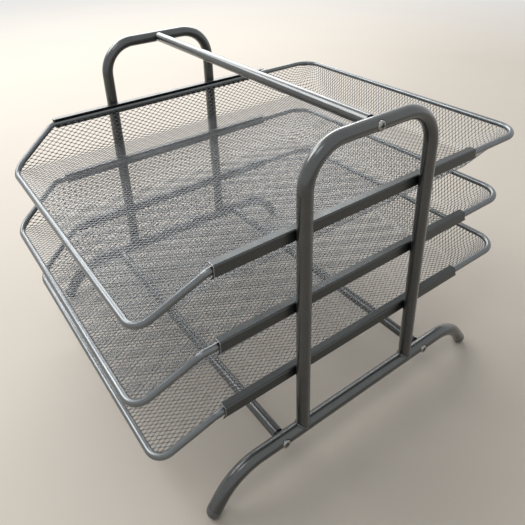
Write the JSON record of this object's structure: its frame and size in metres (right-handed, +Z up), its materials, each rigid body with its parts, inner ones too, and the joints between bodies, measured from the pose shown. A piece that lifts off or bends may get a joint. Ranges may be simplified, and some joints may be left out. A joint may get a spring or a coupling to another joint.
{
  "type": "letter tray",
  "caption": "Free-standing tiered letter tray: tube end frames with a handle bar carry wire-rimmed expanded-metal trays that slide forward in channel rails.",
  "frame": {"origin": "on the surface the object stands on, at the middle of its whole width and depth", "axes": "+Z up, +X to the right seen from the low front edges of the trays, +Y to the back of the trays"},
  "size_m": [0.3, 0.3574, 0.258],
  "materials": {
    "frame_paint": "satin graphite paint",
    "wire_paint": "satin graphite paint",
    "mesh_paint": "satin graphite paint",
    "cap_plastic": "semi-gloss",
    "screw_zinc": "zinc plated",
    "insert_steel": "plain"
  },
  "bodies": {
    "frame": {"left_hoop": "frame_paint", "left_foot_bar": "frame_paint", "left_foot_caps": "cap_plastic", "left_bottom_rail": "frame_paint", "left_middle_rail": "frame_paint", "left_top_rail": "frame_paint", "right_hoop": "frame_paint", "right_foot_bar": "frame_paint", "right_foot_caps": "cap_plastic", "right_bottom_rail": "frame_paint", "right_middle_rail": "frame_paint", "right_top_rail": "frame_paint", "handle_bar": "frame_paint", "handle_inserts": "insert_steel", "handle_screws": "screw_zinc", "front_cross_bar": "frame_paint", "front_bar_inserts": "insert_steel", "front_bar_screws": "screw_zinc", "rear_cross_bar": "frame_paint", "rear_bar_inserts": "insert_steel", "rear_bar_screws": "screw_zinc"},
    "bottom_tray": {"bottom_tray_rim": "wire_paint", "bottom_tray_pan": "mesh_paint"},
    "middle_tray": {"middle_tray_rim": "wire_paint", "middle_tray_pan": "mesh_paint"},
    "top_tray": {"top_tray_rim": "wire_paint", "top_tray_pan": "mesh_paint"}
  },
  "joints": [
    {"name": "bottom_tray_slide", "type": "slide", "parent": "frame", "child": "bottom_tray", "axis": [0, -1, 0], "range_m": [-0.0005, 0.1795]},
    {"name": "middle_tray_slide", "type": "slide", "parent": "frame", "child": "middle_tray", "axis": [0, -1, 0], "range_m": [-0.0085, 0.1715]},
    {"name": "top_tray_slide", "type": "slide", "parent": "frame", "child": "top_tray", "axis": [0, -1, 0], "range_m": [0, 0.18]}
  ]
}
